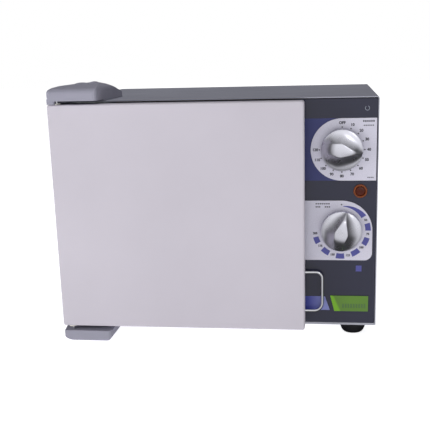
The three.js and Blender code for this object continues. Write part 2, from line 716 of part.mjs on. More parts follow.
// ---------------------------------------------------------------- dials, knobs and shafts
// Half-round timer dial that runs square to the panel's right edge.
function timerDial() {
  const shape = new THREE.Shape();
  shape.absarc(DIAL_X, TIMER_Z, DIAL_RADIUS, UP, 3 * UP, false);
  shape.lineTo(DIAL_RIGHT, TIMER_Z - DIAL_RADIUS);
  shape.lineTo(DIAL_RIGHT, TIMER_Z + DIAL_RADIUS);
  shape.closePath();
  shape.holes.push(new THREE.Path().absarc(DIAL_X, TIMER_Z, 5.5, 0, 4 * UP, true));
  return plate(shape, -GAP - LABEL_DEPTH, -GAP, 14);
}

// Thermostat dial: it starts behind the door's free edge, with one large rounded corner.
function thermostatDial() {
  const low = THERMOSTAT_Z - DIAL_RADIUS;
  const high = THERMOSTAT_Z + DIAL_RADIUS;
  const end = DIAL_X + DIAL_RADIUS;
  const small = 11;
  const shape = new THREE.Shape();
  shape.moveTo(DIAL_LEFT, low);
  shape.lineTo(end - small, low);
  shape.absarc(end - small, low + small, small, -UP, 0, false);
  shape.absarc(DIAL_X, THERMOSTAT_Z, DIAL_RADIUS, 0, UP, false);
  shape.lineTo(DIAL_LEFT, high);
  shape.closePath();
  shape.holes.push(new THREE.Path().absarc(DIAL_X, THERMOSTAT_Z, 5.5, 0, 4 * UP, true));
  return plate(shape, -GAP - LABEL_DEPTH, -GAP, 12);
}

add('timer_dial', timerDial(), DIAL_FACE);
add('thermostat_dial', thermostatDial(), DIAL_FACE);

// Leaning label in the panel's lower right corner.
add('corner_label', plate(outline([
  [LABEL.left, LABEL.top],
  [LABEL.left + LABEL.lean, LABEL.bottom],
  [LABEL.right, LABEL.bottom],
  [LABEL.right, LABEL.top],
]), -GAP - LABEL_DEPTH, -GAP), GREEN_LABEL);

// Wing knob drawn facing up, pointer towards +Y: a domed skirt under a leaf-shaped grip.
function knob() {
  const { radius, rim, dome, height } = KNOB;
  const disc = turned([
    [0, 0], [radius, 0], [radius, rim - 0.6], [radius - 0.6, rim], [radius - 2, rim],
    [radius - 8, rim + 1.6], [radius - 15, rim + 2.8], [0, dome],
  ], 40);
  const tip = radius - 1;
  const flank = 16;
  const plan = new THREE.Shape();
  plan.moveTo(-1.5, tip);
  plan.bezierCurveTo(-8, 16, -flank, 10, -flank, -4);
  plan.bezierCurveTo(-flank, -14, -12, -22, -6, -tip + 0.5);
  plan.lineTo(6, -tip + 0.5);
  plan.bezierCurveTo(12, -22, flank, -14, flank, -4);
  plan.bezierCurveTo(flank, 10, 8, 16, 1.5, tip);
  plan.closePath();
  const side = new THREE.Shape();
  side.moveTo(tip, 0);
  side.lineTo(tip, rim + 1);
  side.lineTo(19, height - 3);
  side.quadraticCurveTo(15, height, 9, height);
  side.lineTo(-11, height);
  side.quadraticCurveTo(-18, height, -23, height - 5);
  side.lineTo(-tip, rim - 1);
  side.lineTo(-tip, 0);
  side.closePath();
  const cross = new THREE.Shape();
  cross.moveTo(-flank - 1, 0);
  cross.lineTo(flank + 1, 0);
  cross.lineTo(flank + 1, dome - 2);
  cross.quadraticCurveTo(11, dome + 2, 8.4, height - 1);
  cross.lineTo(7.4, height);
  cross.lineTo(-7.4, height);
  cross.lineTo(-8.4, height - 1);
  cross.quadraticCurveTo(-11, dome + 2, -flank - 1, dome - 2);
  cross.closePath();
  const grip = common(
    extruded(plan, height + 1, 6),
    bar(side, -flank - 2, flank + 2, 5),
    plate(cross, -30, 30, 5),
  );
  const bore = rod('z', SHAFT_RADIUS + GAP, -1, height - 4, 0, 0, 16);
  return cut(join(disc, grip), bore).rotateX(UP);
}

// Turned spindle with a flat, on the same axis as its knob.
function spindle() {
  const reach = KNOB.height - 3.5;
  const back = 12;
  const stem = new THREE.CylinderGeometry(SHAFT_RADIUS, SHAFT_RADIUS, reach + back, 16);
  stem.rotateX(UP).translate(0, 0, (reach - back) / 2);
  const flat = block(-5, 5, SHAFT_RADIUS - 0.9, SHAFT_RADIUS + 2, 6, reach + 1);
  return cut(stem, flat).rotateX(UP);
}

function control(name, z, pointer) {
  const turn = THREE.MathUtils.degToRad(pointer);
  const knobMesh = add(`${name}_knob`, knob(), CHROME);
  knobMesh.position.set(DIAL_X, -GAP - LABEL_DEPTH - 0.4, z);
  knobMesh.rotation.y = turn;
  const shaftMesh = add(`${name}_shaft`, spindle(), BRASS);
  shaftMesh.position.set(DIAL_X, 0, z);
  shaftMesh.rotation.y = turn;
}

control('timer', TIMER_Z, TIMER_POINTER);
control('thermostat', THERMOSTAT_Z, THERMOSTAT_POINTER);

// ---------------------------------------------------------------- control bay
const BAY_FRONT = SHEET + GAP;
const spindleHole = (z) => rod('y', SHAFT_RADIUS + 0.4, 0, 14, DIAL_X, z, 16);

// Clockwork timer: square movement, round bell and two switch tabs.
add('timer_movement', cut(join(
  block(DIAL_X - 28, DIAL_X + 28, BAY_FRONT, 30, TIMER_Z - 28, TIMER_Z + 28),
  rod('y', 24, 29, 46, DIAL_X, TIMER_Z, 28),
  block(DIAL_X - 20, DIAL_X - 14, 20, 40, TIMER_Z - 33, TIMER_Z - 27),
  block(DIAL_X + 14, DIAL_X + 20, 20, 40, TIMER_Z - 33, TIMER_Z - 27),
), spindleHole(TIMER_Z)), ALUMINIUM);

// Thermostat: cup-shaped body on a square plate, with two terminals at the back.
add('thermostat_body', cut(join(
  block(DIAL_X - 22, DIAL_X + 22, BAY_FRONT, 4, THERMOSTAT_Z - 16, THERMOSTAT_Z + 16),
  rod('y', 17, 3, 30, DIAL_X, THERMOSTAT_Z, 24),
  block(DIAL_X - 12, DIAL_X - 6, 28, 38, THERMOSTAT_Z + 4, THERMOSTAT_Z + 5),
  block(DIAL_X + 6, DIAL_X + 12, 28, 38, THERMOSTAT_Z + 4, THERMOSTAT_Z + 5),
), spindleHole(THERMOSTAT_Z)), BLACK_PLASTIC);

// Capillary from the thermostat to the bulb inside the chamber's top right corner.
const bulbX = CHAMBER.right - 16;
add('thermostat_capillary', join(
  tube([
    [DIAL_X, 30 + GAP, THERMOSTAT_Z - 8],
    [DIAL_X, 70, THERMOSTAT_Z - 8],
    [DIAL_X - 20, 130, 230],
    [DIAL_X - 20, capillaryHole.y, capillaryHole.z],
    [bulbX, capillaryHole.y, capillaryHole.z],
  ], 1.2, [14, 14, 14], 6, 30),
  rod('y', 3.5, capillaryHole.y - 70, capillaryHole.y + 6, bulbX, capillaryHole.z, 14),
), BRASS);

// Amber pilot lamp: bezel, lens with its stem through the panel, and the lamp behind it.
const { bezel, lens, stem } = LAMP;
const lampPlace = [LAMP.x, 0, LAMP.z];
add('pilot_lamp_bezel', turned([
  [lens + GAP, GAP], [bezel, GAP], [bezel, 1.4], [bezel - 1, 2.8],
  [lens + 1.2, 3.2], [lens + GAP, 2.6], [lens + GAP, GAP],
], 28).rotateX(UP), AMBER).position.set(...lampPlace);
add('pilot_lamp_lens', turned([
  [0, -4], [stem, -4], [stem, GAP], [lens, GAP], [lens, 2.6], [lens - 1.6, 4.2],
  [lens - 4, 5], [0, 5.2],
], 24).rotateX(UP), AMBER).position.set(...lampPlace);
add('pilot_lamp_body', join(
  rod('y', 6.4, 4 + GAP, 26, LAMP.x, LAMP.z, 20),
  block(LAMP.x - 3.5, LAMP.x - 2.5, 25, 34, LAMP.z - 2, LAMP.z + 2),
  block(LAMP.x + 2.5, LAMP.x + 3.5, 25, 34, LAMP.z - 2, LAMP.z + 2),
), NYLON);

// ---------------------------------------------------------------- mains side
// Appliance inlet: flange outside the back sheet, body and three pins through it.
function mainsInlet() {
  const { x, z } = INLET;
  const out = CASE_DEPTH + GAP;
  const pin = (dx, dz) => block(x + dx - 1, x + dx + 1, out - 20, out - 2, z + dz - 2, z + dz + 2);
  return join(
    cut(
      join(
        plate(roundedRect(x - 25, x + 25, z - 14, z + 14, 4), out, out + 3),
        block(x - 14, x + 14, out - 24, out + 1, z - 10.5, z + 10.5),
      ),
      plate(roundedRect(x - 12, x + 12, z - 8, z + 8, 2), out - 20, out + 5),
    ),
    pin(-7, -2),
    pin(0, 2),
    pin(7, -2),
  );
}

add('mains_inlet', mainsInlet(), BLACK_PLASTIC);

// Fuse holder: body through the back sheet, cap outside.
add('fuse_holder', join(
  rod('y', 7.4, CASE_DEPTH - 32, CASE_DEPTH + 1, FUSE.x, FUSE.z, 20),
  rod('y', 9.5, CASE_DEPTH + GAP, CASE_DEPTH + 4, FUSE.x, FUSE.z, 24),
  rod('y', 6.5, CASE_DEPTH + 3, CASE_DEPTH + REAR_REACH, FUSE.x, FUSE.z, 12),
), BLACK_PLASTIC);

// Ceramic terminal block on the floor of the control bay.
const TERMINALS = { left: 150, right: 214, front: 296, back: 318, top: 20 };
const wells = [0, 1, 2, 3, 4].map((i) => (
  rod('z', 2.6, TERMINALS.top - 6, TERMINALS.top + 2, TERMINALS.left + 8 + i * 12, 307, 12)
));
add('terminal_block', cut(
  block(TERMINALS.left, TERMINALS.right, TERMINALS.front, TERMINALS.back, SHEET + GAP, TERMINALS.top),
  ...wells,
), CERAMIC);

// Insulated leads: each ends a hair short of what it serves.
const lead = (points) => tube(points, 1.6, points.slice(2).map(() => 9), 6, 18);
const blockBack = TERMINALS.back + GAP;
const blockFront = TERMINALS.front - GAP;
const inletFront = CASE_DEPTH - 24;
add('lead_live', lead([
  [INLET.x - 7, inletFront, INLET.z + 4],
  [INLET.x - 7, 336, INLET.z + 4],
  [158, 336, 12],
  [158, blockBack, 12],
]), finish(0x5a3a22, 0.5, 0));
add('lead_neutral', lead([
  [INLET.x + 7, inletFront, INLET.z + 4],
  [INLET.x + 7, 336, INLET.z + 4],
  [206, 336, 12],
  [206, blockBack, 12],
]), finish(0x2a4a8c, 0.5, 0));
add('lead_timer', lead([
  [170, blockFront, 12],
  [170, 200, 12],
  [DIAL_X - 17, 90, 200],
  [DIAL_X - 17, 60, TIMER_Z - 30],
  [DIAL_X - 17, 40 + GAP, TIMER_Z - 30],
]), finish(0x5a3a22, 0.5, 0));
add('lead_heater', lead([
  [194, blockFront, 12],
  [194, 270, 12],
  [194, 250, 62],
  [150, 250, 62],
  [150, 345, 62],
  [60, 345, 62],
]), finish(0xd8d4c8, 0.6, 0));

export default cabinet;
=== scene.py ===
"""Looks of the benchtop hot-air steriliser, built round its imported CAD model."""
import json
import math

import bmesh
import bpy
from mathutils import Matrix, Vector


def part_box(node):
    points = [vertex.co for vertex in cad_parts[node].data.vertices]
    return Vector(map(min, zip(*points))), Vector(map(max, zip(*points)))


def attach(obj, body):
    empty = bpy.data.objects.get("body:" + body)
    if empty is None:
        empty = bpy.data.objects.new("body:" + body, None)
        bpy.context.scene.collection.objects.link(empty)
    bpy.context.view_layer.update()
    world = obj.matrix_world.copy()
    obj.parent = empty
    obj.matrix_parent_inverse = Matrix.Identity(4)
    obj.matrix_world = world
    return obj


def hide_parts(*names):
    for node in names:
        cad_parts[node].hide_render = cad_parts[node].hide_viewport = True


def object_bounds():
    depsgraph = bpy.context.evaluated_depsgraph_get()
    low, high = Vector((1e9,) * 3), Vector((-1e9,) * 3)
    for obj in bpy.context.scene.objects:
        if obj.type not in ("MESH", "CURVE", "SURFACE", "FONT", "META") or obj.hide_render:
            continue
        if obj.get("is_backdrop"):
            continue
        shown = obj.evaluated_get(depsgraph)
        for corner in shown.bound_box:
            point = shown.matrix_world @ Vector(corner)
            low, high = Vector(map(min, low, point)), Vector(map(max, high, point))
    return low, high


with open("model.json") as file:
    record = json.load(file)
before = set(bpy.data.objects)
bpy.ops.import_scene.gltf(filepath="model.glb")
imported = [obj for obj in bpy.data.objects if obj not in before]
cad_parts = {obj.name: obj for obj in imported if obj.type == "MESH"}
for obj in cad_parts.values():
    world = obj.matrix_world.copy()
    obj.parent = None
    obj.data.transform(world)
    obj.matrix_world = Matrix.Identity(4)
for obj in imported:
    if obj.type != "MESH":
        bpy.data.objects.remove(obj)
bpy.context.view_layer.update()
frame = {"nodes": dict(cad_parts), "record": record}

# ---------------------------------------------------------------- places and sizes
# Lengths in this file are millimetres in the cabinet's own frame: X from its middle,
# Y from the front panel's face to the back, Z from the underside of the casing.
MM = 0.001
PANEL_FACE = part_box("front_panel")[0].y
CASE_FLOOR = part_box("wrap_cover")[0].z


def row(x, y, z):
    """A cabinet point in millimetres as a row-frame point in metres."""
    return Vector((x * MM, PANEL_FACE + y * MM, CASE_FLOOR + z * MM))


def cabinet_box(node):
    """A CAD node's box in cabinet millimetres."""
    low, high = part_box(node)
    origin = Vector((0, PANEL_FACE, CASE_FLOOR))
    return (low - origin) / MM, (high - origin) / MM


def middle(node):
    low, high = cabinet_box(node)
    return (low + high) / 2


TIMER = middle("timer_shaft")
THERMOSTAT = middle("thermostat_shaft")
LAMP = middle("pilot_lamp_lens")
DIAL_FACE = cabinet_box("timer_dial")[0].y
DIAL_RADIUS = (cabinet_box("timer_dial")[1].z - cabinet_box("timer_dial")[0].z) / 2
TIMER_POINTER = math.radians(101)
THERMOSTAT_POINTER = math.radians(14)


# ---------------------------------------------------------------- materials
def tint(text):
    """A colour written as six sRGB hex digits, as linear RGBA."""
    parts = [int(text[i:i + 2], 16) / 255 for i in (0, 2, 4)]
    linear = [p / 12.92 if p <= 0.04045 else ((p + 0.055) / 1.055) ** 2.4 for p in parts]
    return (*linear, 1.0)


def shade(color, factor):
    return (*[min(1.0, c * factor) for c in color[:3]], 1.0)


class Finish:
    """A procedural material: one Principled shader and the patterns that feed it."""

    def __init__(self, name, color, metallic=0.0, roughness=0.5, **sockets):
        self.material = bpy.data.materials.new(name)
        self.material.use_nodes = True
        self.tree = self.material.node_tree
        self.shader = self.tree.nodes["Principled BSDF"]
        self.shader.inputs["Base Color"].default_value = color
        self.shader.inputs["Metallic"].default_value = metallic
        self.shader.inputs["Roughness"].default_value = roughness
        for socket, value in sockets.items():
            self.shader.inputs[socket.replace("_", " ")].default_value = value
        self.coordinates = self.node("ShaderNodeTexCoord").outputs["Object"]

    def node(self, kind, **settings):
        made = self.tree.nodes.new(kind)
        for key, value in settings.items():
            setattr(made, key, value)
        return made

    def link(self, source, target):
        self.tree.links.new(source, target)

    def math(self, operation, first, second):
        made = self.node("ShaderNodeMath", operation=operation)
        for socket, value in zip(made.inputs, (first, second)):
            if isinstance(value, (int, float)):
                socket.default_value = value
            else:
                self.link(value, socket)
        return made.outputs[0]

    def axis(self, name):
        """One object coordinate, in metres."""
        split = self.node("ShaderNodeSeparateXYZ")
        self.link(self.coordinates, split.inputs[0])
        return split.outputs[name]

    def noise(self, scale, stretch=(1, 1, 1), detail=3.0):
        mapping = self.node("ShaderNodeMapping")
        mapping.inputs["Scale"].default_value = stretch
        self.link(self.coordinates, mapping.inputs["Vector"])
        made = self.node("ShaderNodeTexNoise")
        made.inputs["Scale"].default_value = scale
        made.inputs["Detail"].default_value = detail
        self.link(mapping.outputs[0], made.inputs["Vector"])
        return made.outputs["Fac"]

    def spread(self, factor, low, high, start=0.35, end=0.65):
        made = self.node("ShaderNodeMapRange")
        for socket, value in zip(made.inputs[1:5], (start, end, low, high)):
            socket.default_value = value
        self.link(factor, made.inputs[0])
        return made.outputs[0]

    def colors(self, factor, low, high, start=0.35, end=0.65):
        ramp = self.node("ShaderNodeValToRGB")
        first, last = ramp.color_ramp.elements
        first.position, first.color = start, low
        last.position, last.color = end, high
        self.link(factor, ramp.inputs[0])
        self.link(ramp.outputs[0], self.shader.inputs["Base Color"])

    def gloss(self, factor, low, high):
        self.link(self.spread(factor, low, high), self.shader.inputs["Roughness"])

    def bump(self, height, strength, distance, below=None):
        made = self.node("ShaderNodeBump")
        made.inputs["Strength"].default_value = strength
        made.inputs["Distance"].default_value = distance
        self.link(height, made.inputs["Height"])
        if below is not None:
            self.link(below, made.inputs["Normal"])
        self.link(made.outputs[0], self.shader.inputs["Normal"])
        return made.outputs[0]


def painted(name, color, roughness, peel=0.12, patch=5.0, change=0.05):
    """Oven-cured paint: faint orange peel, slow colour drift and handled patches."""
    made = Finish(name, color)
    drift = made.noise(patch, detail=4.0)
    made.colors(drift, shade(color, 1 - change), shade(color, 1 + change))
    made.gloss(made.noise(38.0, detail=5.0), roughness - 0.05, roughness + 0.06)
    coarse = made.bump(made.noise(420.0, detail=2.0), peel, 0.0002)
    made.bump(made.noise(2600.0, detail=1.0), peel * 0.6, 0.00006, coarse)
    return made


def brushed(name, color, roughness, along, grain=0.25):
    """Sheet metal with fine lines along one axis."""
    made = Finish(name, color, metallic=1.0)
    stretch = [1.0 if axis == along else 60.0 for axis in "xyz"]
    lines = made.noise(26.0, stretch, detail=5.0)
    made.colors(lines, shade(color, 0.88), shade(color, 1.05), 0.3, 0.7)
    made.gloss(lines, roughness - 0.06, roughness + 0.1)
    made.bump(lines, grain, 0.00008)
    return made


def polished(name, color, roughness, haze=0.08):
    """Bright plating with a little haze and faint handling marks."""
    made = Finish(name, color, metallic=1.0)
    patch = made.noise(90.0, detail=4.0)
    made.colors(patch, shade(color, 0.94), color)
    made.gloss(patch, roughness, roughness + haze)
    made.bump(made.noise(700.0, detail=2.0), 0.02, 0.00005)
    return made


def moulded(name, color, roughness, texture=0.2, scale=1400.0):
    """Moulded plastic or rubber with a fine spark-eroded texture."""
    made = Finish(name, color)
    patch = made.noise(60.0, detail=4.0)
    made.colors(patch, shade(color, 0.9), shade(color, 1.1))
    made.gloss(patch, roughness - 0.05, roughness + 0.08)
    made.bump(made.noise(scale, detail=2.0), texture, 0.0001)
    return made


def printed(name, color, roughness=0.42):
    """Silk-screened ink: almost even, with a slightly open surface."""
    made = Finish(name, color)
    weave = made.noise(900.0, detail=2.0)
    made.colors(weave, shade(color, 0.93), shade(color, 1.07))
    made.gloss(weave, roughness - 0.04, roughness + 0.05)
    made.bump(weave, 0.05, 0.00003)
    return made


def faded(name, left, right, low, high):
    """Ink that runs from one colour to another across a span of X, in millimetres."""
    made = printed(name, left)
    across = made.spread(made.axis("X"), 0.0, 1.0, low * MM, high * MM)
    made.colors(across, left, right, 0.0, 1.0)
    return made


def wool(name, color):
    made = Finish(name, color, roughness=0.95)
    fibres = made.noise(220.0, (1, 1, 4), detail=8.0)
    made.colors(fibres, shade(color, 0.7), shade(color, 1.15), 0.3, 0.7)
    made.bump(fibres, 0.8, 0.002)
    return made


# How far the label's wedge leans for each unit of height, and where it ends, in metres.
WEDGE_SLANT = 0.45
WEDGE_END = (0.0135, 0.0165)


def leaning_label(name, dark, bright):
    """Green label whose left end is a brighter slanting wedge."""
    made = printed(name, dark, 0.35)
    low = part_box("corner_label")[0]
    rise = made.math("SUBTRACT", made.axis("Z"), low.z)
    lean = made.math("MULTIPLY", rise, WEDGE_SLANT)
    edge = made.math("ADD", made.math("SUBTRACT", made.axis("X"), low.x), lean)
    wedge = made.spread(edge, 0.0, 1.0, *WEDGE_END)
    drift = made.spread(made.noise(30.0), 0.85, 1.0)
    made.colors(made.math("MULTIPLY", wedge, drift), bright, dark, 0.0, 1.0)
    return made


FINISHES = {
    "cover_paint": painted("cover_enamel", tint("9E9FAC"), 0.42, peel=0.2),
    "base_paint": painted("base_enamel", tint("A6A7B2"), 0.45),
    "panel_paint": painted("panel_satin", tint("26273A"), 0.14, peel=0.02, change=0.04),
    "door_paint": painted("door_satin", tint("C3BEC8"), 0.36, peel=0.08, change=0.025),
    "arm_casting": painted("arm_enamel", tint("9594A3"), 0.46, peel=0.3),
    "stainless": brushed("stainless_sheet", tint("CBCDD0"), 0.28, "x"),
    "zinc_plate": brushed("zinc_plate", tint("B4B8BA"), 0.36, "y", 0.1),
    "hinge_steel": polished("hinge_steel", tint("DADBDF"), 0.16),
    "chrome_wire": polished("chrome_wire", tint("E2E3E8"), 0.08),
    "knob_chrome": polished("knob_satin_chrome", tint("EEEEF9"), 0.27, 0.02),
    "foot_rubber": moulded("foot_rubber", tint("0E0E16"), 0.6, 0.35, 900.0),
    "silicone": moulded("silicone_seal", tint("A8452E"), 0.55, 0.15),
    "nylon": moulded("nylon", tint("E2E0D6"), 0.45),
    "black_plastic": moulded("black_plastic", tint("1C1C20"), 0.45),
    "dial_print": printed("dial_face", tint("CDCBDA"), 0.38),
    "green_label": leaning_label("green_label", tint("587F2A"), tint("72AE08")),
    "amber_plastic": moulded("amber_bezel", tint("7C3C14"), 0.22, 0.04),
    "amber_lens": moulded("amber_lens", tint("4A1402"), 0.1, 0.03),
    "heater_sheath": brushed("heater_sheath", tint("5A5650"), 0.5, "y", 0.2),
    "tray_aluminium": brushed("tray_aluminium", tint("D2D4D6"), 0.38, "y", 0.15),
    "brass_spindle": polished("brass_spindle", tint("C7A458"), 0.28),
    "copper_capillary": polished("copper_capillary", tint("B87850"), 0.35),
    "glass_wool": wool("glass_wool", tint("D8C88A")),
    "ceramic": moulded("ceramic_block", tint("E6E0D2"), 0.5, 0.1),
    "lead_brown": moulded("lead_brown", tint("5A3420"), 0.45, 0.05),
    "lead_blue": moulded("lead_blue", tint("284A92"), 0.45, 0.05),
    "lead_white": moulded("lead_white", tint("DCD8CE"), 0.6, 0.4, 500.0),
}
INK = printed("ink_grey", tint("30303C"))
INK_BLUE = printed("ink_blue", tint("4C4D98"))
INK_GREEN = printed("ink_green", tint("4C6E3A"))
INK_PALE = printed("ink_pale", tint("8C93A0"))
# Printed blue backdrop, made darker at its left end next to the door: painted shade standing in for the
# door's shadow on the panel.
BACKDROP_BLUE_AND_DOOR_SHADE = faded("backdrop_blue_and_door_shade", tint("2A3068"), tint("34386E"), 131, 175)
STRIPE_BLUE = faded("stripe_blue", tint("343C9A"), tint("7C82BE"), 136, 160)


# ---------------------------------------------------------------- mesh making
class Shape:
    """Vertices in cabinet millimetres and faces, gathered for one piece."""

    def __init__(self):
        self.points = []
        self.faces = []

    def add(self, points, faces):
        start = len(self.points)
        self.points += [tuple(p) for p in points]
        self.faces += [tuple(start + i for i in face) for face in faces]
        return self

    def loops(self, rings, closed=False):
        """Skins rings of equal length in turn; the ends are capped unless the skin closes on itself."""
        count = len(rings[0])
        pairs = len(rings) if closed else len(rings) - 1
        faces = []
        for i in range(pairs):
            here, there = i * count, (i + 1) % len(rings) * count
            for j in range(count):
                k = (j + 1) % count
                faces.append((here + j, here + k, there + k, there + j))
        if not closed:
            faces.append(tuple(range(count)))
            faces.append(tuple(range((len(rings) - 1) * count, len(rings) * count)))
        return self.add([p for ring in rings for p in ring], faces)

    def piece(self, name, body, finish, slot, sharp=40.0, replaces=()):
        """The gathered mesh as a piece that rides on a CAD body."""
        mesh = bpy.data.meshes.new(name)
        mesh.from_pydata([row(*p) for p in self.points], [], self.faces)
        work = bmesh.new()
        work.from_mesh(mesh)
        bmesh.ops.remove_doubles(work, verts=work.verts, dist=1e-7)
        bmesh.ops.recalc_face_normals(work, faces=work.faces)
        work.to_mesh(mesh)
        work.free()
        for polygon in mesh.polygons:
            polygon.use_smooth = True
        mesh.set_sharp_from_angle(angle=math.radians(sharp))
        mesh.materials.append(finish.material)
        made = bpy.data.objects.new(name, mesh)
        bpy.context.scene.collection.objects.link(made)
        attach(made, body)
        if replaces:
            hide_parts(*replaces)
        return made


def rounded(left, right, bottom, top, radius, y, steps=6):
    """A rounded rectangle in X and Z at depth y."""
    points = []
    corners = ((right, top, 0), (left, top, 1), (left, bottom, 2), (right, bottom, 3))
    for x, z, quarter in corners:
        inward_x = -radius if x == right else radius
        inward_z = -radius if z == top else radius
        for i in range(steps + 1):
            angle = math.pi / 2 * (quarter + i / steps)
            points.append((
                x + inward_x + radius * math.cos(angle),
                y,
                z + inward_z + radius * math.sin(angle),
            ))
    return points


def circle(segments):
    """The cosine and sine of evenly spaced angles round a full turn."""
    angles = [2 * math.pi * i / segments for i in range(segments)]
    return [(math.cos(angle), math.sin(angle)) for angle in angles]


def facing(x, z, y, profile, segments=64):
    """A profile of radius and height turned about an axis that faces the front."""
    return [[
        (x + radius * c, y - height, z + radius * s) for c, s in circle(segments)
    ] for radius, height in profile]


def standing(x, y, z, profile, segments=64):
    """A profile of radius and height turned about an upright axis."""
    return [[
        (x + radius * c, y + radius * s, z + height) for c, s in circle(segments)
    ] for radius, height in profile]


# An ink film's back and front, measured back from the face that it lies on, and how much
# the outlines of figures are grown.
PRINT_BACK = 0.05
PRINT_FRONT = -0.06
FIGURE_WEIGHT = 0.24


def band(shape, inner, outer, face):
    """A strip of ink between two lines of points, on the face at depth y."""
    back, front = face + PRINT_BACK, face + PRINT_FRONT
    for i in range(len(inner) - 1):
        corners = [inner[i], outer[i], outer[i + 1], inner[i + 1]]
        shape.loops([[(x, y, z) for x, z in corners] for y in (back, front)])
    return shape


def on_ring(centre, radius, degrees):
    """A point on a dial, at an angle clockwise from the top."""
    angle = math.radians(degrees)
    return centre.x + radius * math.sin(angle), centre.z + radius * math.cos(angle)


def arc(shape, centre, start, end, inner, outer, face, steps=8):
    """A printed arc; inner and outer are pairs of radii, at its start and its end."""
    def line(radii):
        return [on_ring(
            centre,
            radii[0] + (radii[1] - radii[0]) * i / steps,
            start + (end - start) * i / steps,
        ) for i in range(steps + 1)]
    return band(shape, line(inner), line(outer), face)


def dot(shape, x, z, radius, face, segments=16):
    """A printed dot."""
    levels = (face + PRINT_BACK, face + PRINT_FRONT)
    shape.loops([[(x + radius * c, y, z + radius * s) for c, s in circle(segments)] for y in levels])


def bar(shape, left, right, bottom, top, face):
    """A printed rectangle."""
    band(shape, [(left, bottom), (right, bottom)], [(left, top), (right, top)], face)


def bars(shape, count, left, pitch, width, bottom, top, face):
    """A row of equal bars in the place of a line of small print."""
    for i in range(count):
        start = left + pitch * i
        bar(shape, start, start + width, bottom, top, face)


def figures(shape, text, x, z, height, face):
    """Printed figures centred on a point."""
    curve = bpy.data.curves.new("figures", "FONT")
    curve.body = text
    curve.size = height
    curve.align_x = "CENTER"
    curve.align_y = "CENTER"
    curve.extrude = (PRINT_BACK - PRINT_FRONT) / 2
    curve.offset = FIGURE_WEIGHT
    curve.resolution_u = 3
    holder = bpy.data.objects.new("figures", curve)
    bpy.context.scene.collection.objects.link(holder)
    bpy.context.view_layer.update()
    mesh = bpy.data.meshes.new_from_object(holder)
    level = face + (PRINT_BACK + PRINT_FRONT) / 2
    points = [(x + v.co.x, level - v.co.z, z + v.co.y) for v in mesh.vertices]
    shape.add(points, [tuple(p.vertices) for p in mesh.polygons])
    bpy.data.objects.remove(holder)
    bpy.data.meshes.remove(mesh)
    bpy.data.curves.remove(curve)


# ---------------------------------------------------------------- knobs
KNOB_RADIUS = 29.2
KNOB_RIM = 8.0
DOME_RISE = 3.4
DOME_RADIUS = 27.2
# Beyond this radius the rim is a little lower.
STEP_RADIUS = 27.4
STEP_DEPTH = 0.35
# The top's skin ends this far inside the knob's radius.
SKIN_EDGE = 0.8
# How much lower the grip's top is at its two edges than along its middle.
CROWN = 0.7
POINTS_AROUND = 240
RINGS = 84
SOFTENING_PASSES = 2
# The knob's side, from the rim to its back: how far it is drawn in, and its height.
KNOB_SIDE = ((0.25, KNOB_RIM - 0.6), (0, KNOB_RIM - 1.1), (0, 0.3), (0.4, 0))
KNOB_BASE = cabinet_box("timer_knob")[1].y
# Along the grip, from its heel to the pointer's tip: place, half width of the top,
# height of the top, and how far the hollow flank reaches.
GRIP = (
    (-28.4, 5.4, 8.2, 2.0),
    (-26.5, 5.8, 9.6, 5.5),
    (-23.0, 6.2, 12.0, 10.0),
    (-19.0, 6.8, 14.6, 14.0),
    (-15.0, 7.4, 16.8, 15.5),
    (-10.0, 8.2, 18.2, 16.0),
    (-2.0, 9.3, 18.5, 16.0),
    (6.0, 6.8, 18.5, 16.0),
    (14.0, 3.8, 17.9, 15.0),
    (18.0, 2.9, 16.4, 13.5),
    (22.0, 2.2, 13.6, 11.0),
    (26.0, 1.4, 10.6, 7.0),
    (28.4, 0.6, 8.8, 3.0),
)


def between(stations, place, column):
    """A column of a station table at a place along it, on a smooth curve."""
    last = len(stations) - 1
    for i in range(last):
        low, high = stations[i], stations[i + 1]
        if place > high[0] and i < last - 1:
            continue
        before, after = stations[max(i - 1, 0)], stations[min(i + 2, last)]
        span = high[0] - low[0]
        share = min(1.0, max(0.0, (place - low[0]) / span))
        leave = (high[column] - before[column]) / (high[0] - before[0]) * span
        arrive = (after[column] - low[column]) / (after[0] - low[0]) * span
        square, cube = share ** 2, share ** 3
        return (
            (2 * cube - 3 * square + 1) * low[column] + (cube - 2 * square + share) * leave
            + (3 * square - 2 * cube) * high[column] + (cube - square) * arrive
        )


def knob_height(u, v):
    """Height of the knob over its base: a low dome with a leaf-shaped grip on it."""
    radius = math.hypot(u, v)
    dome = KNOB_RIM + DOME_RISE * max(0.0, 1 - (radius / DOME_RADIUS) ** 2)
    if radius > STEP_RADIUS:
        dome = KNOB_RIM - STEP_DEPTH
    half, top, flank = (between(GRIP, v, column) for column in (1, 2, 3))
    away = (abs(u) - half) / flank
    if away >= 1 or v < GRIP[0][0] or v > GRIP[-1][0]:
        return dome
    rise = 1.0 if away <= 0 else (1 - away) ** 2
    crown = CROWN * min(1.0, (u / half) ** 2)
    return dome + max(0.0, top - crown - dome) * rise


def soften(heights):
    """One pass of averaging with the four neighbours; the rim stays."""
    rows, around = len(heights), len(heights[0])
    made = [list(ring) for ring in heights]
    for i in range(1, rows - 1):
        for j in range(around):
            side = heights[i][j - 1] + heights[i][(j + 1) % around]
            made[i][j] = (2 * heights[i][j] + side + heights[i - 1][j] + heights[i + 1][j]) / 6
    return made


